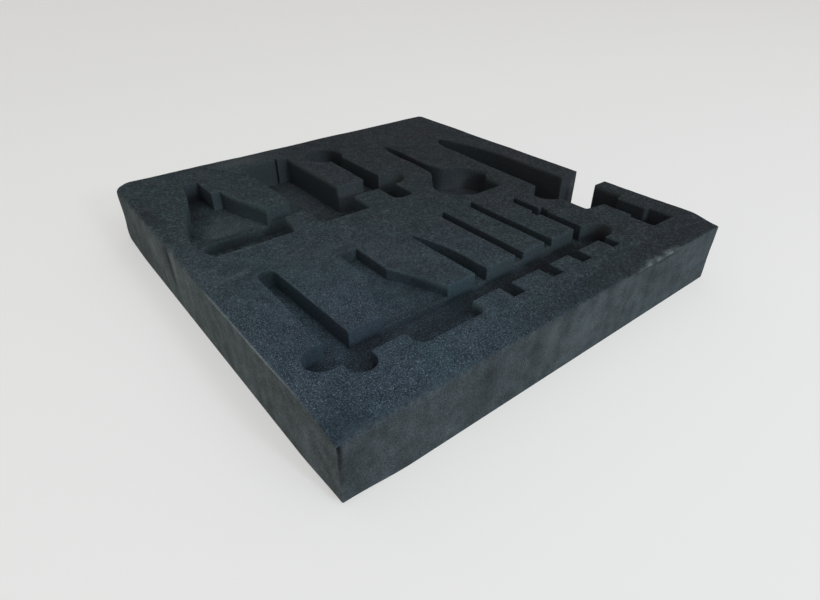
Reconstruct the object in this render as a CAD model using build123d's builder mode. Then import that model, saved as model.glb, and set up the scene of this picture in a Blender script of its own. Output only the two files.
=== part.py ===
from build123d import *
import os

# Foam slab, in millimetres: origin at the middle of its underside, +X right, +Y to the rear, +Z up
tray_width = 345
tray_depth = 360
tray_thickness = 50
front_corner_radius = 1
rear_right_corner_radius = 5
rear_left_corner_radius = 18

# Pockets stand in two rows, set back from the slab's front and rear edges
front_margin = 27.5
rear_margin = 29
round_limit_share = 0.45

# Finger channels with full round ends, one across each row
front_channel_length = 258
front_channel_width = 21
front_channel_depth = 13
front_channel_rise = 12.5
front_channel_x_share = -0.09
rear_channel_length = 186.5
rear_channel_width = 24
rear_channel_depth = 25
rear_channel_rise = 27
rear_channel_x_share = -0.156

# Tapered slot with round ends, at the left of the front row
tapered_slot_length = 121
tapered_slot_lower_radius = 9
tapered_slot_upper_radius = 6.2
tapered_slot_depth = 13
tapered_slot_x_share = -0.389

# Small pliers pocket: straight jaws that flare into the handles
small_pliers_length = 110
small_pliers_width = 51.5
small_pliers_jaw_width = 15.5
small_pliers_depth = 9
small_pliers_corner = 6
small_pliers_x_share = -0.2225
small_pliers_jaw_share = 0.68
small_pliers_flare_shares = [(0.64, 0.52), (0.97, 0.32)]

# Blade pocket: straight on its left, curved to a tip on its right
blade_length = 102.5
blade_width = 11
blade_depth = 10
blade_x_share = -0.066
blade_shoulder_share = 0.45
blade_curve_shares = [(0.22, 0.78)]

# Driver slots, the shallowest: a narrow shaft above a wider handle
driver_length = 117
driver_depth = 6.5
driver_shaft_width = 8.2
driver_handle_length = 22
driver_handle_width = 11.5
driver_x_shares = (0.0405, 0.1285)

# Ringed driver slot: a shaft with a collar across it
ringed_driver_length = 101
ringed_driver_width = 8.6
ringed_driver_depth = 13
ringed_driver_collar_width = 15
ringed_driver_collar_length = 8
ringed_driver_collar_share = 0.695
ringed_driver_x_share = 0.226

# Pliers pocket: jaws at the top with a step on the right, handles bowed out below
pliers_length = 137
pliers_width = 73
pliers_depth = 16.5
pliers_x_share = -0.349
pliers_left_shares = [(-0.075, 1), (-0.145, 0.79), (-0.35, 0.5), (-0.5, 0.2), (-0.41, 0)]
pliers_right_shares = [(0.4, 0), (0.5, 0.19), (0.44, 0.37), (0.28, 0.62), (0.226, 0.77)]
pliers_step_share = 0.123

# Box pocket, whose upper end sets the rear row back from the rear edge, with a knife nick in that end
box_length = 145
box_width = 47
box_depth = 25
box_corner = 3
box_x_share = -0.1275
box_nick_width = 2.5
box_nick_length = 3.5
box_nick_share = 0.26

# Round headed pocket
round_head_length = 144.5
round_head_radius = 18.5
round_head_depth = 18
round_head_x_share = 0.039
round_head_offset_share = -0.18
round_handle_width = 19
round_handle_corner = 6
round_handle_upper_shares = [(0.5, 0.8), (-0.28, 0.8)]

# Scissors pocket: a blade slot above two bows
scissors_length = 144
scissors_width = 69
scissors_depth = 22
scissors_x_share = 0.216
scissors_y_share = -0.075
scissors_left_blade_shares = [(-0.04, 1), (-0.1, 0.88), (-0.125, 0.6), (-0.165, 0.41)]
scissors_left_bow_shares = [(-0.165, 0.41), (-0.36, 0.29), (-0.5, 0.15), (-0.33, 0.04), (-0.18, 0)]
scissors_right_bow_shares = [(0.2, 0), (0.3, 0.04), (0.32, 0.1), (0.34, 0.165)]
scissors_right_bow_end_shares = [(0.464, 0.215), (0.403, 0.323), (0.239, 0.402), (0.07, 0.435)]
scissors_right_blade_shares = [(0.01, 0.5), (0, 0.7), (-0.04, 1)]

# Long tool pocket, the deepest: foot, neck and collar below a tapered blade
long_tool_floor = 15
long_tool_x_share = 0.4035
long_tool_corner = 2.5
long_tool_foot_length = 21
long_tool_foot_width = 27.5
long_tool_neck_length = 26
long_tool_neck_width = 19
long_tool_collar_length = 45
long_tool_collar_width = 46.5
long_tool_collar_shoulder = 3
long_tool_collar_offset_share = -0.115
long_tool_blade_length = 162
long_tool_blade_width = 38.5
long_tool_left_shares = [(-0.67, 0), (-0.55, 0.57), (-0.5, 0.75), (-0.37, 0.95), (-0.16, 1)]
long_tool_right_shares = [(-0.16, 1), (0.07, 0.85), (0.28, 0.63), (0.31, 0.38), (0.33, 0)]

# Edge channel, from the long tool out through the slab's right side
edge_channel_width = 30
edge_channel_reach = 74.5
edge_channel_y_share = -0.172

# Lines that the two rows of pockets stand on
front_row_y = -tray_depth / 2 + front_margin
rear_row_y = tray_depth / 2 - rear_margin - box_length


def top_plane(x_share, y):
    """The slab's top, with its origin in the middle of a pocket's lower end."""
    return Plane(origin=(x_share * tray_width, y, tray_thickness))


def outline_points(shares, width, length, base=0):
    """Points of an outline from shares of its width and length, counted up from a base line."""
    return [(x_share * width, base + y_share * length) for x_share, y_share in shares]


def cut_down(depth):
    """Cuts the outline that was drawn last straight down into the slab."""
    extrude(amount=-depth, mode=Mode.SUBTRACT)


os.makedirs("parts", exist_ok=True)

with BuildPart() as foam_tray:
    # Slab, with its rear left corner worn round
    with BuildSketch():
        with BuildLine():
            FilletPolyline(
                (-tray_width / 2, -tray_depth / 2),
                (tray_width / 2, -tray_depth / 2),
                (tray_width / 2, tray_depth / 2),
                (-tray_width / 2, tray_depth / 2),
                radius=[
                    front_corner_radius,
                    front_corner_radius,
                    rear_right_corner_radius,
                    rear_left_corner_radius,
                ],
                close=True,
            )
        make_face()
    extrude(amount=tray_thickness)

    # Finger channels
    with BuildSketch(top_plane(front_channel_x_share, front_row_y)):
        with Locations((0, front_channel_rise)):
            SlotOverall(front_channel_length, front_channel_width, align=(Align.CENTER, Align.MIN))
    cut_down(front_channel_depth)
    with BuildSketch(top_plane(rear_channel_x_share, rear_row_y)):
        with Locations((0, rear_channel_rise)):
            SlotOverall(rear_channel_length, rear_channel_width, align=(Align.CENTER, Align.MIN))
    cut_down(rear_channel_depth)

    # Tapered slot
    with BuildSketch(top_plane(tapered_slot_x_share, front_row_y)):
        with Locations((0, tapered_slot_lower_radius)):
            Circle(tapered_slot_lower_radius)
        with Locations((0, tapered_slot_length - tapered_slot_upper_radius)):
            Circle(tapered_slot_upper_radius)
        make_hull()
    cut_down(tapered_slot_depth)

    # Small pliers pocket, drawn as its right half and mirrored
    with BuildSketch(top_plane(small_pliers_x_share, front_row_y)):
        half_jaw = small_pliers_jaw_width / 2
        half_width = small_pliers_width / 2
        jaw_y = small_pliers_jaw_share * small_pliers_length
        bend, flare = outline_points(small_pliers_flare_shares, half_width, small_pliers_length)
        with BuildLine():
            Polyline((0, small_pliers_length), (half_jaw, small_pliers_length), (half_jaw, jaw_y))
            ThreePointArc((half_jaw, jaw_y), bend, flare)
            FilletPolyline(
                flare,
                (half_width, 0),
                (0, 0),
                radius=min(small_pliers_corner, round_limit_share * small_pliers_width),
            )
            mirror(about=Plane.YZ)
        make_face()
    cut_down(small_pliers_depth)

    # Blade pocket
    with BuildSketch(top_plane(blade_x_share, front_row_y)):
        half_blade = blade_width / 2
        tip = (-half_blade, blade_length)
        shoulder = (half_blade, blade_shoulder_share * blade_length)
        with BuildLine():
            Polyline(tip, (-half_blade, 0), (half_blade, 0), shoulder)
            ThreePointArc(shoulder, *outline_points(blade_curve_shares, blade_width, blade_length), tip)
        make_face()
    cut_down(blade_depth)

    # Driver slots
    for x_share in driver_x_shares:
        with BuildSketch(top_plane(x_share, front_row_y)):
            Rectangle(driver_shaft_width, driver_length, align=(Align.CENTER, Align.MIN))
            Rectangle(driver_handle_width, driver_handle_length, align=(Align.CENTER, Align.MIN))
        cut_down(driver_depth)

    # Ringed driver slot
    with BuildSketch(top_plane(ringed_driver_x_share, front_row_y)):
        Rectangle(ringed_driver_width, ringed_driver_length, align=(Align.CENTER, Align.MIN))
        with Locations((0, ringed_driver_collar_share * ringed_driver_length)):
            Rectangle(ringed_driver_collar_width, ringed_driver_collar_length)
    cut_down(ringed_driver_depth)

    # Pliers pocket
    with BuildSketch(top_plane(pliers_x_share, rear_row_y)):
        pliers_left = outline_points(pliers_left_shares, pliers_width, pliers_length)
        pliers_right = outline_points(pliers_right_shares, pliers_width, pliers_length)
        step_x = pliers_step_share * pliers_width
        step_y = pliers_right[-1][1]
        with BuildLine():
            Spline(*pliers_left)
            Line(pliers_left[-1], pliers_right[0])
            Spline(*pliers_right)
            Polyline(pliers_right[-1], (step_x, step_y), (step_x, pliers_length), pliers_left[0])
        make_face()
    cut_down(pliers_depth)

    # Box pocket
    with BuildSketch(top_plane(box_x_share, rear_row_y)):
        with Locations((0, box_length / 2)):
            RectangleRounded(box_width, box_length, min(box_corner, round_limit_share * box_width))
        with Locations((box_nick_share * box_width, box_length)):
            Rectangle(box_nick_width, 2 * box_nick_length)
    cut_down(box_depth)

    # Round headed pocket
    with BuildSketch(top_plane(round_head_x_share, rear_row_y)):
        handle_corner = min(round_handle_corner, round_limit_share * round_handle_width)
        with BuildLine():
            FilletPolyline(
                (-round_handle_width / 2, 0),
                (round_handle_width / 2, 0),
                *outline_points(round_handle_upper_shares, round_handle_width, round_head_length),
                radius=[handle_corner, handle_corner, 0, 0],
                close=True,
            )
        make_face()
        head_x = round_head_offset_share * round_handle_width
        with Locations((head_x, round_head_length - round_head_radius)):
            Circle(round_head_radius)
    cut_down(round_head_depth)

    # Scissors pocket
    with BuildSketch(top_plane(scissors_x_share, scissors_y_share * tray_depth)):
        left_blade, left_bow, right_bow, right_bow_end, right_blade = [
            outline_points(shares, scissors_width, scissors_length)
            for shares in (
                scissors_left_blade_shares,
                scissors_left_bow_shares,
                scissors_right_bow_shares,
                scissors_right_bow_end_shares,
                scissors_right_blade_shares,
            )
        ]
        with BuildLine():
            Spline(*left_blade)
            Spline(*left_bow)
            Line(left_bow[-1], right_bow[0])
            Spline(*right_bow)
            Line(right_bow[-1], right_bow_end[0])
            Spline(*right_bow_end, *right_blade)
        make_face()
    cut_down(scissors_depth)

    # Long tool pocket
    with BuildSketch(top_plane(long_tool_x_share, front_row_y)):
        half_foot = long_tool_foot_width / 2
        half_neck = long_tool_neck_width / 2
        collar_x = long_tool_collar_offset_share * long_tool_collar_width
        collar_y = long_tool_foot_length + long_tool_neck_length
        shoulder_y = collar_y + long_tool_collar_shoulder
        blade_y = collar_y + long_tool_collar_length
        left_edge, right_edge = [
            outline_points(shares, long_tool_blade_width, long_tool_blade_length, blade_y)
            for shares in (long_tool_left_shares, long_tool_right_shares)
        ]
        with BuildLine():
            for side, edge in ((1, right_edge), (-1, left_edge[::-1])):
                collar_side = collar_x + side * long_tool_collar_width / 2
                FilletPolyline(
                    (0, 0),
                    (side * half_foot, 0),
                    (side * half_foot, long_tool_foot_length),
                    (side * half_neck, long_tool_foot_length),
                    (side * half_neck, collar_y),
                    (collar_side, shoulder_y),
                    (collar_side, blade_y),
                    edge[-1],
                    radius=min(long_tool_corner, round_limit_share * (half_foot - half_neck)),
                )
                Spline(*edge)
        make_face()
    cut_down(tray_thickness - long_tool_floor)

    # Edge channel, round at its inner end and open at the slab's side
    edge_channel_start = tray_width / 2 - edge_channel_reach
    with BuildSketch(Plane(origin=(edge_channel_start, edge_channel_y_share * tray_depth, tray_thickness))):
        SlotOverall(
            edge_channel_reach + edge_channel_width,
            edge_channel_width,
            align=(Align.MIN, Align.CENTER),
        )
    cut_down(tray_thickness - long_tool_floor)

foam_tray.part.label = "foam_tray"
export_step(foam_tray.part, "parts/foam_tray.step")
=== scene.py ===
import math

import bmesh
import bpy
from mathutils import Matrix, Vector, noise


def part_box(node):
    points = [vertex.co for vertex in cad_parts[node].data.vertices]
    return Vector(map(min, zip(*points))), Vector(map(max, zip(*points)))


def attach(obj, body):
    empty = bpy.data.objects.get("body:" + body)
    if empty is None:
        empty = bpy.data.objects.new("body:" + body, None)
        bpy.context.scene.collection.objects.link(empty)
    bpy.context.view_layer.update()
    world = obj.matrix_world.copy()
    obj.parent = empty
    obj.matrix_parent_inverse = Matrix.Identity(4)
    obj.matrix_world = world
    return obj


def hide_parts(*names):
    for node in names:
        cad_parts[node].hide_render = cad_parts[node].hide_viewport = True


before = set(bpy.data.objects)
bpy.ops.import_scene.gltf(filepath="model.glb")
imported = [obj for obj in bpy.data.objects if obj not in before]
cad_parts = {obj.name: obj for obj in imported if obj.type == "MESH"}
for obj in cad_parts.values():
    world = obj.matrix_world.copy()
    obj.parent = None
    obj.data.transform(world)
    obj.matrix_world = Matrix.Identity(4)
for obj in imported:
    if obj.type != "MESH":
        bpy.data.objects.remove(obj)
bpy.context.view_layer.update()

# Foam slab
# One block of closed-cell conductive polyethylene foam, sawn from sheet, with tool pockets cut out of its
# top. The mesh is the solid's own faces with rounded arrises, divided finely, then bent, creased and worn
# as handling leaves them. It lies loose on its underside.
MM = 0.001
weld_distance = 0.001 * MM
flat_angle = math.radians(0.5)
arris_angle = math.radians(35)
arris_radius = 0.7 * MM
arris_segments = 3
arris_spread = 0.3 * MM

slab_low, slab_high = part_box("foam_tray")
left, front, top = slab_low.x, slab_low.y, slab_high.z
bm = bmesh.new()
bm.from_mesh(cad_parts["foam_tray"].data)
bmesh.ops.remove_doubles(bm, verts=bm.verts, dist=weld_distance)
bmesh.ops.dissolve_limit(bm, angle_limit=flat_angle, verts=bm.verts, edges=bm.edges)
bm.normal_update()
bmesh.ops.bevel(
    bm,
    geom=[edge for edge in bm.edges if edge.calc_face_angle_signed() > arris_angle],
    offset=arris_radius,
    offset_type="OFFSET",
    segments=arris_segments,
    profile=0.5,
    affect="EDGES",
    clamp_overlap=False,
    miter_outer="ARC",
    spread=arris_spread,
    loop_slide=True,
)

# Grid of cuts that lets the skin bend, closer along the outer rim
skin_step = 3 * MM
rim_cuts = (1.7 * MM, 4.2 * MM)
for axis in (2, 0, 1):
    normal = Vector((0, 0, 0))
    normal[axis] = 1
    count = round((slab_high[axis] - slab_low[axis]) / skin_step)
    places = [slab_low[axis] + index * skin_step for index in range(1, count)]
    places += [slab_high[axis] - cut for cut in rim_cuts]
    if axis != 2:
        places += [slab_low[axis] + cut for cut in rim_cuts]
    for place in places:
        bmesh.ops.bisect_plane(
            bm,
            geom=[*bm.verts, *bm.edges, *bm.faces],
            dist=weld_distance,
            plane_co=normal * place,
            plane_no=normal,
        )

# Creases, strongest at their start: start, end, way into the foam, half width, depth and darkness, in mm.
# The darkness is painted shade in the crease, and below zero a painted highlight on a ridge.
left_mm, front_mm, top_mm = left / MM, front / MM, top / MM
crease_rows = [
    ((left_mm, 44.5, 47), (left_mm, 40.5, 20), (1, 0, 0), 2.8, 1.8, 0.35),
    ((left_mm, 58, top_mm), (-153, 56, top_mm), (0, 0, -1), 0.9, 0.9, 0.5),
    ((-94, 168, top_mm), (-73, 129, top_mm), (0, 0, -1), 1.0, 0.5, 0.25),
    ((-142, -25, top_mm), (-166, -28.5, top_mm), (0, 0, 1), 2.2, 0.6, -0.25),
    ((-171.2, front_mm, 49), (-171.9, front_mm, 16), (0, 1, 0), 1.7, 0.5, 0.9),
]
creases = [
    (Vector(start) * MM, Vector(end) * MM, Vector(inward), half_width * MM, depth * MM, crease_shade)
    for start, end, inward, half_width, depth, crease_shade in crease_rows
]
crease_fade = 0.6
crease_cuts = (-1.6, -0.8, 0, 0.8, 1.6)
for start, end, inward, half_width, depth, crease_shade in creases:
    across = (end - start).cross(inward).normalized()
    middle = (start + end) / 2
    reach = (end - start).length / 2 + 4 * half_width
    for cut in crease_cuts:
        faces = [face for face in bm.faces if (face.calc_center_median() - middle).length < reach]
        edges = list(dict.fromkeys(edge for face in faces for edge in face.edges))
        verts = list(dict.fromkeys(vert for edge in edges for vert in edge.verts))
        bmesh.ops.bisect_plane(
            bm,
            geom=[*verts, *edges, *faces],
            dist=weld_distance,
            plane_co=start + across * cut * half_width,
            plane_no=across,
        )


def creased(vert):
    """Move, and tone of painted shade, that the creases give a vertex."""
    move, tone = Vector((0, 0, 0)), 0
    for start, end, inward, half_width, depth, crease_shade in creases:
        along = end - start
        share = min(max((vert.co - start).dot(along) / along.length_squared, 0), 1)
        gap = (vert.co - start - along * share).length
        if gap < 3 * half_width and abs(vert.normal.dot(inward)) > 0.3:
            fall = math.exp(-(gap / half_width) ** 2) * (1 - crease_fade * share)
            move += inward * depth * fall
            # Painted shade along the crease, a painted highlight where the darkness is below zero
            tone -= crease_shade * fall
    return move, tone


def ramp(value, start, end):
    """Smooth rise from 0 at start to 1 at end."""
    share = min(max((value - start) / (end - start), 0), 1)
    return share * share * (3 - 2 * share)


def band(value, rise, fall):
    """Smooth rise from 0 to 1 over one span and fall back to 0 over another."""
    return ramp(value, *rise) * (1 - ramp(value, *fall))


# Round upright corners, by the sides of the slab that meet there
corner_radii = {(-1, 1): 18 * MM, (1, 1): 5 * MM}
facing = 0.5


def rim_sides(place):
    """Depth of a place behind each upright side of the slab near it, and the way out through that side."""
    for (side_x, side_y), radius in corner_radii.items():
        spoke = Vector((place.x, place.y, 0))
        spoke -= Vector((side_x * (slab_high.x - radius), side_y * (slab_high.y - radius), 0))
        if spoke.x * side_x > 0 and spoke.y * side_y > 0:
            return [(radius - spoke.length, spoke.normalized())]
    return [
        (slab_high.x - abs(place.x), Vector((math.copysign(1, place.x), 0, 0))),
        (slab_high.y - abs(place.y), Vector((0, math.copysign(1, place.y), 0))),
    ]


# The top rim is worn round, and has sunk along the front and the near part of the left side
near_end = (-120 * MM, -60 * MM)
front_radius, front_radius_far = 4.5 * MM, 1.5 * MM
front_sunk, front_sunk_reach = 3.7 * MM, 25 * MM
left_sunk_end = (-30 * MM, 55 * MM)
left_radius, left_radius_sunk = 2.8 * MM, 1.3 * MM
left_sunk, left_sunk_reach = 3.3 * MM, 14 * MM
plain_radius = 2 * MM
sunk_height = 20 * MM


def rim_wear(place, out):
    """Radius of the worn top rim, how far the rim has sunk, and how far in from the side it sinks."""
    if out.y < -facing:
        radius = front_radius - (front_radius - front_radius_far) * ramp(place.x, *near_end)
        return radius, front_sunk, front_sunk_reach
    if out.x < -facing:
        sunk = 1 - ramp(place.y, *left_sunk_end)
        radius = left_radius - (left_radius - left_radius_sunk) * sunk
        return radius, left_sunk * sunk, left_sunk_reach
    return plain_radius, 0, left_sunk_reach


def worn_rim(vert):
    """Place of a vertex once the top rim is worn and has sunk."""
    place = vert.co.copy()
    drop = top - vert.co.z
    for depth_in, out in rim_sides(vert.co):
        radius, sunk, sunk_reach = rim_wear(vert.co, out)
        reach = math.hypot(radius - depth_in, radius - drop)
        if depth_in < radius and drop < radius and reach > radius:
            pull = 1 - radius / reach
            place -= out * (radius - depth_in) * pull
            place.z -= (radius - drop) * pull
        place.z -= sunk * (1 - ramp(depth_in, 0, sunk_reach)) * (1 - ramp(drop, 0, sunk_height))
    return place


# The sides' skin fades out over the rim, and further where the rim is most worn
skin_depth = 8 * MM
rim_fade = 1 * MM
front_fade = 5 * MM
left_fade = 3 * MM
left_fade_rise, left_fade_fall = (-30 * MM, 20 * MM), (50 * MM, 80 * MM)


def skin_share(vert):
    """Share of side skin at a vertex, 0 on the top and 1 on a side."""
    share = 0
    drop = top - vert.co.z
    for depth_in, out in rim_sides(vert.co):
        fade = rim_fade
        if out.y < -facing:
            fade += front_fade * (1 - ramp(vert.co.x, *near_end))
        if out.x < -facing:
            fade += left_fade * band(vert.co.y, left_fade_rise, left_fade_fall)
        if depth_in < skin_depth and vert.normal.z > -facing:
            share = max(share, ramp(drop - depth_in, -fade, fade))
    return share


# The left rim has a thin pale line, part rubbed foam and part painted highlight, and the front rim is
# rubbed in a broken patch with a painted shadow line under it
rim_skin = 1 * MM
left_line, left_line_width = 0.7, 0.9 * MM
left_line_rise, left_line_fall = (15 * MM, 40 * MM), (120 * MM, 165 * MM)
patch_rub, patch_depth = 0.42, (1 * MM, 6 * MM)
patch_rise, patch_fall = (58 * MM, 80 * MM), (104 * MM, 124 * MM)
patch_grain, patch_gaps = 7 * MM, (-0.2, 0.4)
patch_shadow_darkness, line_drop, line_width = 0.4, 1.5 * MM, 0.8 * MM


def rubbed_and_highlit_rim(vert):
    """How far a vertex is rubbed, with the painted highlight along the left rim, and the tone of the
    painted shadow line under the rubbed patch.
    """
    rub_and_highlight, tone = 0, 0
    drop = top - vert.co.z
    for depth_in, out in rim_sides(vert.co):
        if out.x < -facing:
            # Thin pale line along the left rim: part rubbed foam, part painted highlight
            thin = left_line * max(1 - max(depth_in, drop) / left_line_width, 0)
            rub_and_highlight = max(rub_and_highlight, thin * band(-vert.co.y, left_line_rise, left_line_fall))
        if out.y < -facing:
            patch = band(vert.co.x, patch_rise, patch_fall)
            broken = ramp(noise.noise(vert.co / patch_grain), *patch_gaps)
            if drop < rim_skin:
                rub_and_highlight = max(rub_and_highlight, patch_rub * patch * broken * (1 - ramp(depth_in, *patch_depth)))
            # Painted shadow line under the rubbed patch
            if depth_in < rim_skin:
                tone -= patch_shadow_darkness * patch * math.exp(-((drop - line_drop) / line_width) ** 2)
    return rub_and_highlight, tone


# Smudges, with painted shade and painted light in the pockets, creases and corners: middle and spread in
# mm, and tone, dark below zero
smudge_and_lighting_rows = [
    # Front side: dark and pale patches; the broad dark patch over the near end and the spot beside the near
    # corner are painted shade
    ((-140, front_mm, 25), (40, 3, 40), -0.1),
    ((-75, front_mm, 29), (6, 3, 20), -0.45),
    ((-38, front_mm, 34), (5, 3, 15), -0.4),
    ((-23, front_mm, 35), (9, 3, 14), 0.15),
    ((8, front_mm, 20), (13, 3, 12), 0.15),
    ((82, front_mm, 34), (7, 3, 10), -0.4),
    ((122, front_mm, 21), (8, 3, 10), -0.4),
    ((-165, front_mm, 33), (7, 3, 14), -0.2),
    ((-104, front_mm, 27), (22, 3, 20), 0.05),
    ((50, front_mm, 25), (120, 3, 30), 0.03),
    # Left side: pale and dark patches; by the crease, the dark spot is painted shade and the two pale spots
    # near its lip are a painted highlight
    ((left_mm, 125, 25), (3, 50, 40), -0.2),
    ((left_mm, 81, 31), (3, 6, 13), 0.35),
    ((left_mm, 119, 36), (3, 6, 9), 0.15),
    ((left_mm, 46, 34), (3, 8, 13), -0.5),
    ((left_mm, 31.5, 45), (3, 2.5, 6), 0.35),
    ((left_mm, 32, 33), (3, 5, 12), 0.2),
    # Top
    ((-164, -171, top_mm), (13, 9, 5), -0.25),
    ((20, -172, top_mm), (80, 9, 3), -0.42),
    ((120, -169, top_mm), (45, 12, 3), -0.25),
    ((-166, 95, top_mm), (5, 28, 4), -0.45),
    ((-62, 166, top_mm), (28, 12, 4), 0.2),
    ((-161, -42, top_mm), (8, 7, 3), -0.2),
    ((-22, -50, top_mm), (15, 13, 3), -0.15),
    # Pliers pocket: painted light on the floor, and painted shade along the left wall, at the foot of the
    # rear wall and where the rear channel steps down
    ((-120, 55, 33.5), (45, 60, 5), 0.2),
    ((-124, 129, 33.5), (8, 15, 5), -0.6),
    ((-133, 105, 33.5), (8, 15, 5), -0.6),
    ((-143, 80, 33.5), (6, 13, 5), -0.6),
    ((-117, 143, 36), (14, 5, 8), -0.7),
    ((-112, 134, 33.5), (9, 10, 5), -0.5),
    ((-122, 57, 29), (26, 4, 6), -0.7),
    # Box pocket, rear finger channel and round headed pocket: painted light on the box floor and on the
    # channel's front-facing walls, and painted shade at the channel's right end and in the round headed
    # pocket
    ((-35, 110, 25), (25, 50, 4), 0.1),
    ((-8, 57, 37), (14, 4, 10), 0.1),
    ((-82, 57, 34), (14, 4, 10), 0.05),
    ((40, 45, 42), (5, 7, 10), -0.7),
    ((25, 142, 42), (7, 8, 10), -0.6),
    # Scissors pocket and long tool pocket: painted light on the floor and walls
    ((75, 0, 28), (40, 40, 5), 0.2),
    ((97, 26, 35), (8, 9, 9), 0.18),
    ((151, -5, 40), (10, 40, 10), 0.07),
    # Tapered slot and small pliers pocket: painted shade
    ((-134, -32, 43), (9, 5, 9), -0.6),
    ((-58, -99, 44), (16, 12, 8), -0.4),
    ((-78, -42.5, 45), (8, 5, 8), -0.5),
    # Front finger channel: painted shadow on its floor and walls, darkest at its right end
    ((-151, -119.5, 43), (10, 6, 10), -0.35),
    ((-114, -119, 42), (22, 4, 9), -0.15),
    ((-75, -119, 40), (30, 4, 5), -0.35),
    ((-30, -129, 37), (150, 14, 4), -0.35),
    ((50, -129, 37), (50, 14, 7), -0.45),
    ((97, -129, 42), (6, 10, 10), -0.75),
]
smudges_and_lighting = [(Vector(middle) * MM, Vector(spread) * MM, tone) for middle, spread, tone in smudge_and_lighting_rows]


def smudge_and_lighting_tone(place):
    """Tone that the smudges, painted shade and painted light give a place."""
    tone = 0
    for middle, spread, strength in smudges_and_lighting:
        gap = place - middle
        tone += strength * math.exp(-sum((gap[axis] / spread[axis]) ** 2 for axis in range(3)))
    return tone


# Knocked lower corners: place, how far the foam is pressed up, and how far round
knocked = [((left, slab_high.y), 4.5 * MM, 60 * MM), ((left, front), 3.5 * MM, 45 * MM)]
knock_height = 25 * MM


def pressed_up(place):
    """How far the knocked corners lift a place."""
    rise = 0
    for corner, lift, lift_reach in knocked:
        away = math.hypot(place.x - corner[0], place.y - corner[1])
        rise += lift * (1 - ramp(away, 0, lift_reach)) * (1 - ramp(place.z, 0, knock_height))
    return rise


foot_fill = 0.7
foot_span = (5 * MM, 42 * MM)


def square_up(place):
    """Way out of a place at the rear left corner, which is worn less at its foot than at its top."""
    radius = corner_radii[(-1, 1)]
    spoke = Vector((place.x - slab_low.x - radius, place.y - slab_high.y + radius, 0))
    if spoke.x >= 0 or spoke.y <= 0:
        return Vector((0, 0, 0))
    filled = foot_fill * (1 - ramp(place.z, *foot_span)) * (spoke.length / radius) ** 2
    return spoke.normalized() * radius * (spoke.length / max(-spoke.x, spoke.y) - 1) * filled


# Handling has left the skin slightly wavy, apart from the underside that it rests on
wave_heights = ((34 * MM, 0.35 * MM), (10 * MM, 0.14 * MM))
base_margin = 1.5 * MM
# Painted light across the top, paler towards the left and the near side
light_drift_span = (150 * MM, -170 * MM)
light_drift_slant = 0.5
bm.normal_update()
# Layers: side skin, rubbing with the painted highlight along the left rim, smudges with painted shade and
# light, and the painted light gradient across the top
skin_layer = bm.verts.layers.float.new("side_skin")
rub_highlight_layer = bm.verts.layers.float.new("rubbed_and_highlit")
tone_layer = bm.verts.layers.float.new("smudge_and_lighting")
light_drift_layer = bm.verts.layers.float.new("light_drift")
worn_places = []
for vert in bm.verts:
    crease_move, crease_tone = creased(vert)
    rub_and_highlight, patch_shadow_tone = rubbed_and_highlit_rim(vert)
    wave = sum(height * noise.noise(vert.co / length) for length, height in wave_heights)
    hold = min(max((vert.co.z - slab_low.z) / base_margin - 1, 0), 1)
    place = worn_rim(vert) + square_up(vert.co) + crease_move + vert.normal * wave * hold
    place.z += pressed_up(vert.co)
    worn_places.append(place)
    vert[skin_layer] = skin_share(vert)
    vert[rub_highlight_layer] = rub_and_highlight
    # Tone: painted shadow under the rubbed patch, painted shade in the creases, and smudges with painted
    # shade and light
    vert[tone_layer] = patch_shadow_tone + crease_tone + smudge_and_lighting_tone(vert.co)
    vert[light_drift_layer] = ramp(vert.co.x + light_drift_slant * vert.co.y, *light_drift_span)
for vert, place in zip(bm.verts, worn_places):
    vert.co = place

# Slivers that the bends have folded over are eased flat
fold_angle = math.radians(110)
easing_rounds = 8
for easing in range(easing_rounds):
    bm.normal_update()
    folds = [edge for edge in bm.edges if edge.calc_face_angle(0) > fold_angle]
    eased = list(dict.fromkeys(vert for edge in folds for vert in edge.verts))
    bmesh.ops.smooth_vert(
        bm, verts=eased, factor=0.5, use_axis_x=True, use_axis_y=True, use_axis_z=True
    )

# The pockets' walls, which were cut with a blade and not sawn, show no open cells
flat_slope, upright_slope = 0.9, 0.4
bm.normal_update()
cut_layer = bm.faces.layers.float.new("blade_cut")
for face in bm.faces:
    face[cut_layer] = ramp(abs(face.normal.z), flat_slope, upright_slope)
    face.smooth = True
for edge in bm.edges:
    edge.smooth = abs(edge.calc_face_angle(0)) < arris_angle
slab_mesh = bpy.data.meshes.new("foam_slab")
bm.to_mesh(slab_mesh)
bm.free()
slab = bpy.data.objects.new("foam_slab", slab_mesh)
bpy.context.scene.collection.objects.link(slab)


def srgb(hex_colour):
    """Linear colour of an sRGB hex value."""
    channels = [int(hex_colour[place:place + 2], 16) / 255 for place in (1, 3, 5)]
    return [c / 12.92 if c <= 0.04045 else ((c + 0.055) / 1.055) ** 2.4 for c in channels] + [1]


def add_node(tree, kind, settings, inputs):
    """Adds a node, sets its properties, and sets or links its inputs."""
    node = tree.nodes.new(kind)
    for name, value in settings.items():
        setattr(node, name, value)
    for key, value in inputs.items():
        if isinstance(value, bpy.types.NodeSocket):
            tree.links.new(value, node.inputs[key])
        else:
            node.inputs[key].default_value = value
    return node


# Carbon-filled polyethylene foam, sawn: matte slate black, with glints of its cut cells painted in as fine
# pale specks.
# Real cells are finer than the picture can show, so the cells, their grain and clumps are drawn coarser.
cell_size = 0.65 * MM
grain_size = 1.2 * MM
clump_size = 2.2 * MM
mottle_size = 9 * MM
cloud_size = 16 * MM
hue_size = 34 * MM
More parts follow.
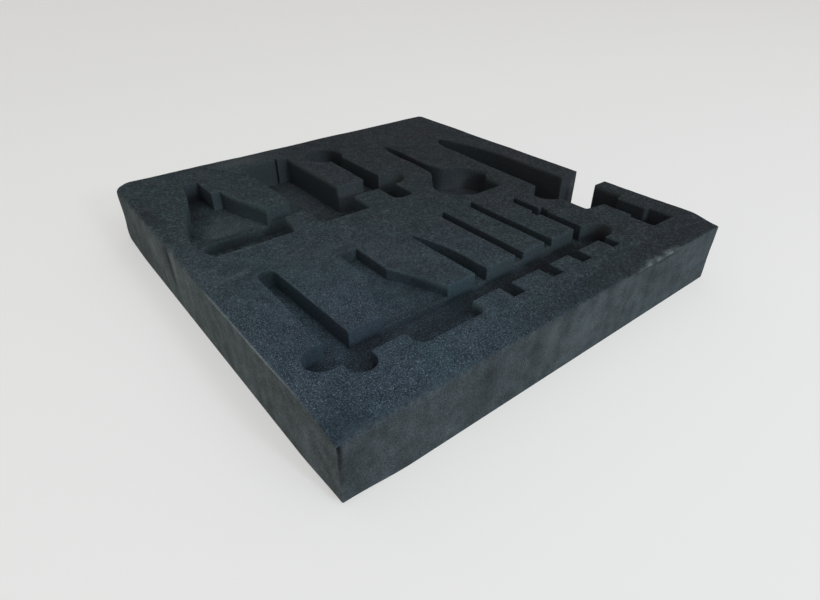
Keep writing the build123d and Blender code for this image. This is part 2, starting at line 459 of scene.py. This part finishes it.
# Top colours: the darker far right and paler left colours are shaded and lit copies of one foam, painted
# light, and the bluer near colour is a painted sheen
sawn_shaded_right, sawn_lit_left, sawn_near_sheen = srgb("#26292c"), srgb("#313a3d"), srgb("#2c3740")
side_dark, side_pale = srgb("#262b2d"), srgb("#4b5357")
cell_glint = srgb("#8f9fac")
# The grime and dust colours also paint shade and light; the bared colour also paints the highlight along
# the left rim
grime_and_shade, dust_and_light, bared_and_highlight = srgb("#161418"), srgb("#666d6e"), srgb("#7e888b")
green_cast, violet_cast = (0.82, 1.07, 0.98, 1), (1.12, 0.95, 1.04, 1)

foam = bpy.data.materials.new("carbon_filled_polyethylene_foam_sawn")
foam.use_nodes = True
tree = foam.node_tree
tree.nodes.clear()
place = add_node(tree, "ShaderNodeTexCoord", {}, {}).outputs["Object"]
worn_and_painted = {
    name: add_node(tree, "ShaderNodeAttribute", {"attribute_name": name}, {}).outputs["Fac"]
    for name in ("side_skin", "rubbed_and_highlit", "smudge_and_lighting", "light_drift", "blade_cut")
}
mix_colours = {"data_type": "RGBA"}
colour_a, colour_b, mixed = 6, 7, 2
value_a, value_b = 2, 3
multiply = {"operation": "MULTIPLY"}
scale_colour = {"operation": "SCALE"}
unclamped = {"clamp": False}
eased_ends = {"interpolation_type": "SMOOTHSTEP"}
noise_span = {"From Min": 0.3, "From Max": 0.7}

# Ground colour of the top, with painted light: paler towards the left and the near side, and a painted
# bluish sheen towards the near corner
light_drifted = add_node(
    tree, "ShaderNodeMix", mix_colours, {"Factor": worn_and_painted["light_drift"], colour_a: sawn_shaded_right, colour_b: sawn_lit_left}
)
from_corner = add_node(
    tree, "ShaderNodeVectorMath", {"operation": "DISTANCE"}, {0: place, 1: (left, front, top)}
).outputs["Value"]
nearness = add_node(
    tree,
    "ShaderNodeMapRange",
    eased_ends,
    {"Value": from_corner, "From Min": 260 * MM, "From Max": 20 * MM},
)
ground = add_node(
    tree,
    "ShaderNodeMix",
    mix_colours,
    {"Factor": nearness.outputs["Result"], colour_a: light_drifted.outputs[mixed], colour_b: sawn_near_sheen},
)
hue = add_node(tree, "ShaderNodeTexNoise", {}, {"Vector": place, "Scale": 1 / hue_size, "Detail": 2})
cast = add_node(
    tree,
    "ShaderNodeMix",
    mix_colours,
    {"Factor": hue.outputs["Fac"], colour_a: green_cast, colour_b: violet_cast},
)
toned = add_node(
    tree, "ShaderNodeVectorMath", multiply, {0: ground.outputs[mixed], 1: cast.outputs[mixed]}
)

# Sawn grain of the top and the sides, with clumps of cells on the top away from the near corner
mottle = add_node(
    tree, "ShaderNodeTexNoise", {}, {"Vector": place, "Scale": 1 / mottle_size, "Detail": 5}
)
patchy = add_node(
    tree,
    "ShaderNodeMapRange",
    unclamped,
    {**noise_span, "Value": mottle.outputs["Fac"], "To Min": 0.75, "To Max": 1.25},
)
grain = add_node(
    tree,
    "ShaderNodeTexNoise",
    {},
    {"Vector": place, "Scale": 1 / grain_size, "Detail": 3, "Roughness": 0.7},
)
grainy = add_node(
    tree,
    "ShaderNodeMapRange",
    unclamped,
    {**noise_span, "Value": grain.outputs["Fac"], "To Min": 0.5, "To Max": 1.5},
)
sawn_shade = add_node(
    tree, "ShaderNodeMath", multiply, {0: patchy.outputs["Result"], 1: grainy.outputs["Result"]}
)
clump = add_node(tree, "ShaderNodeTexNoise", {}, {"Vector": place, "Scale": 1 / clump_size, "Detail": 1})
clumped = add_node(
    tree,
    "ShaderNodeMapRange",
    {},
    {"Value": clump.outputs["Fac"], "From Min": 0.45, "From Max": 0.75, "To Min": 0.74, "To Max": 1.72},
)
clump_level = add_node(
    tree,
    "ShaderNodeMix",
    {},
    {"Factor": nearness.outputs["Result"], value_a: clumped.outputs["Result"], value_b: 1},
)
top_shade = add_node(
    tree, "ShaderNodeMath", multiply, {0: sawn_shade.outputs[0], 1: clump_level.outputs[0]}
)
sawn = add_node(
    tree, "ShaderNodeVectorMath", scale_colour, {0: toned.outputs[0], "Scale": top_shade.outputs[0]}
)

# Painted glints of cut cells as pale specks, strongest towards the near corner, and fading out over the rim
# and at the corner itself
cells = add_node(
    tree,
    "ShaderNodeTexNoise",
    {},
    {"Vector": place, "Scale": 1 / cell_size, "Detail": 1, "Distortion": 0.5},
)
speck = add_node(
    tree, "ShaderNodeMapRange", {}, {"Value": cells.outputs["Fac"], "From Min": 0.53, "From Max": 0.78}
)
speck_level = add_node(
    tree,
    "ShaderNodeMapRange",
    eased_ends,
    {"Value": from_corner, "From Min": 320 * MM, "From Max": 20 * MM, "To Min": 0.1, "To Max": 0.55},
)
clear_of_rim = add_node(
    tree, "ShaderNodeMapRange", {}, {"Value": worn_and_painted["side_skin"], "From Min": 0.4, "From Max": 0}
)
off_corner = add_node(
    tree,
    "ShaderNodeMapRange",
    {},
    {"Value": from_corner, "From Min": 8 * MM, "From Max": 30 * MM, "To Min": 0.3, "To Max": 1},
)
for level in (speck_level, clear_of_rim, off_corner):
    speck = add_node(
        tree, "ShaderNodeMath", multiply, {0: speck.outputs[0], 1: level.outputs["Result"]}
    )
specked = add_node(
    tree,
    "ShaderNodeMix",
    mix_colours,
    {"Factor": speck.outputs[0], colour_a: sawn.outputs[0], colour_b: cell_glint},
)

# Blade-cut walls of the pockets
wall_grain = add_node(
    tree,
    "ShaderNodeMapRange",
    unclamped,
    {**noise_span, "Value": grain.outputs["Fac"], "To Min": 0.9, "To Max": 2},
)
wall = add_node(
    tree,
    "ShaderNodeVectorMath",
    scale_colour,
    {0: toned.outputs[0], "Scale": wall_grain.outputs["Result"]},
)
cut = add_node(
    tree,
    "ShaderNodeMix",
    mix_colours,
    {"Factor": worn_and_painted["blade_cut"], colour_a: specked.outputs[mixed], colour_b: wall.outputs[0]},
)

# Sides, clouded in streaks that hang down them
hanging = add_node(tree, "ShaderNodeMapping", {}, {"Vector": place, "Scale": (1, 1, 0.35)})
cloud = add_node(
    tree,
    "ShaderNodeTexNoise",
    {},
    {"Vector": hanging.outputs["Vector"], "Scale": 1 / cloud_size, "Detail": 4, "Roughness": 0.6},
)
side = add_node(
    tree,
    "ShaderNodeMix",
    mix_colours,
    {"Factor": cloud.outputs["Fac"], colour_a: side_dark, colour_b: side_pale},
)
side_sawn = add_node(
    tree, "ShaderNodeVectorMath", scale_colour, {0: side.outputs[mixed], "Scale": sawn_shade.outputs[0]}
)
faced = add_node(
    tree,
    "ShaderNodeMix",
    mix_colours,
    {"Factor": worn_and_painted["side_skin"], colour_a: cut.outputs[mixed], colour_b: side_sawn.outputs[0]},
)

# Grime and dust of the smudges, with the painted shade and painted light, and bared foam where it is
# rubbed, with the painted highlight along the left rim
grime_and_shade_share = add_node(
    tree, "ShaderNodeMapRange", {}, {"Value": worn_and_painted["smudge_and_lighting"], "From Min": 0, "From Max": -1}
)
dust_and_light_share = add_node(
    tree, "ShaderNodeMapRange", {}, {"Value": worn_and_painted["smudge_and_lighting"], "From Min": 0, "From Max": 1}
)
rub_highlight_grain = add_node(
    tree,
    "ShaderNodeMath",
    {"operation": "MULTIPLY", "use_clamp": True},
    {0: worn_and_painted["rubbed_and_highlit"], 1: grainy.outputs["Result"]},
)
surface = faced
for share, colour in ((grime_and_shade_share, grime_and_shade), (dust_and_light_share, dust_and_light), (rub_highlight_grain, bared_and_highlight)):
    surface = add_node(
        tree,
        "ShaderNodeMix",
        mix_colours,
        {"Factor": share.outputs[0], colour_a: surface.outputs[mixed], colour_b: colour},
    )
bump = add_node(
    tree, "ShaderNodeBump", {}, {"Height": grain.outputs["Fac"], "Strength": 0.5, "Distance": 0.25 * MM}
)
shader = add_node(
    tree,
    "ShaderNodeBsdfPrincipled",
    {},
    {
        "Base Color": surface.outputs[mixed],
        "Roughness": 0.9,
        "IOR": 1.51,
        "Specular IOR Level": 0.08,
        "Normal": bump.outputs["Normal"],
    },
)
add_node(tree, "ShaderNodeOutputMaterial", {}, {"Surface": shader.outputs["BSDF"]})
slab_mesh.materials.append(foam)
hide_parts("foam_tray")
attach(slab, "root")

# Floor
# A wide sheet of pale matte card, laid flat under the slab and far past the edges of the view.
floor_reach = 8
floor_mesh = bpy.data.meshes.new("floor")
floor_mesh.from_pydata(
    [(x * floor_reach, y * floor_reach, slab_low.z) for x, y in ((-1, -1), (1, -1), (1, 1), (-1, 1))],
    [],
    [(0, 1, 2, 3)],
)
floor = bpy.data.objects.new("floor", floor_mesh)
bpy.context.scene.collection.objects.link(floor)
add = {"operation": "ADD"}


def seen_rays(tree):
    """Adds nodes that give 1 for rays that show the backdrop: straight, mirrored or through glass."""
    rays = add_node(tree, "ShaderNodeLightPath", {}, {}).outputs
    seen = add_node(tree, "ShaderNodeMath", add, {0: rays["Is Camera Ray"], 1: rays["Is Glossy Ray"]})
    seen = add_node(tree, "ShaderNodeMath", add, {0: seen.outputs[0], 1: rays["Is Transmission Ray"]})
    return seen.outputs[0]


# Uncoated card, pressed: flat and almost white, with half of what is seen of it even, so that it looks as
# pale as the backdrop and still takes the slab's shadow
even_share = 0.5
card = bpy.data.materials.new("pale_matte_card")
card.use_nodes = True
tree = card.node_tree
tree.nodes.clear()
sheet = add_node(tree, "ShaderNodeBsdfPrincipled", {}, {"Base Color": srgb("#ececea"), "Roughness": 0.9})
glow = add_node(tree, "ShaderNodeEmission", {}, {"Color": srgb("#f2f2f0"), "Strength": 1})
glow_share = add_node(tree, "ShaderNodeMath", multiply, {0: seen_rays(tree), 1: even_share})
shown = add_node(
    tree,
    "ShaderNodeMixShader",
    {},
    {0: glow_share.outputs[0], 1: sheet.outputs["BSDF"], 2: glow.outputs["Emission"]},
)
add_node(tree, "ShaderNodeOutputMaterial", {}, {"Surface": shown.outputs["Shader"]})
floor_mesh.materials.append(card)

# Light
# An even pale room, a large softbox high in front of the slab, a small lamp below it, and a low, narrow
# lamp far off at the left.
room_level = 0.42
room_tint = (1.03, 0.97, 1, 1)
world = bpy.data.worlds.new("pale_room")
world.use_nodes = True
tree = world.node_tree
tree.nodes.clear()
room = add_node(tree, "ShaderNodeBackground", {}, {"Color": room_tint, "Strength": room_level})
backdrop = add_node(tree, "ShaderNodeBackground", {}, {"Color": srgb("#ececea"), "Strength": 1})
shown = add_node(
    tree,
    "ShaderNodeMixShader",
    {},
    {0: seen_rays(tree), 1: room.outputs["Background"], 2: backdrop.outputs["Background"]},
)
add_node(tree, "ShaderNodeOutputWorld", {}, {"Surface": shown.outputs["Shader"]})
bpy.context.scene.world = world

# Lamps, all aimed at the slab: name, place, width, spread in degrees, power in watts and tint
lamps = [
    ("softbox", (0.2, -2.76, 2.15), 3, 180, 50, (0.92, 1.04, 1.05)),
    ("front_lamp", (0.05, -1.45, 0.7), 0.18, 180, 6.2, (0.9, 1, 1.08)),
    ("left_lamp", (-2.4, -0.1, 0.2), 0.2, 40, 0.95, (1.03, 1, 0.85)),
]
for name, spot, width, spread, power, tint in lamps:
    lamp_data = bpy.data.lights.new(name, "AREA")
    lamp_data.shape = "DISK"
    lamp_data.size = width
    lamp_data.spread = math.radians(spread)
    lamp_data.energy = power
    lamp_data.color = tint
    lamp = bpy.data.objects.new(name, lamp_data)
    lamp.location = spot
    lamp.rotation_euler = (-lamp.location).to_track_quat("-Z", "Y").to_euler()
    bpy.context.scene.collection.objects.link(lamp)
bpy.context.scene.view_settings.view_transform = "Standard"

# Camera
# Stands in front of the slab's near left corner and looks down on it, as the picture was taken.
eye = (-0.249252, -0.326710, 0.233748)
right = Vector((0.781008, -0.624510, 0.003789))
up = Vector((0.349130, 0.441634, 0.826479))
back = Vector((-0.517818, -0.644164, 0.562955))
camera_data = bpy.data.cameras.new("camera")
camera_data.sensor_fit = "HORIZONTAL"
camera_data.sensor_width = 36
camera_data.lens = 23.963
camera_data.clip_start = 0.01
camera = bpy.data.objects.new("camera", camera_data)
camera.matrix_world = Matrix.Translation(eye) @ Matrix((right, up, back)).transposed().to_4x4()
bpy.context.scene.collection.objects.link(camera)
bpy.context.scene.camera = camera
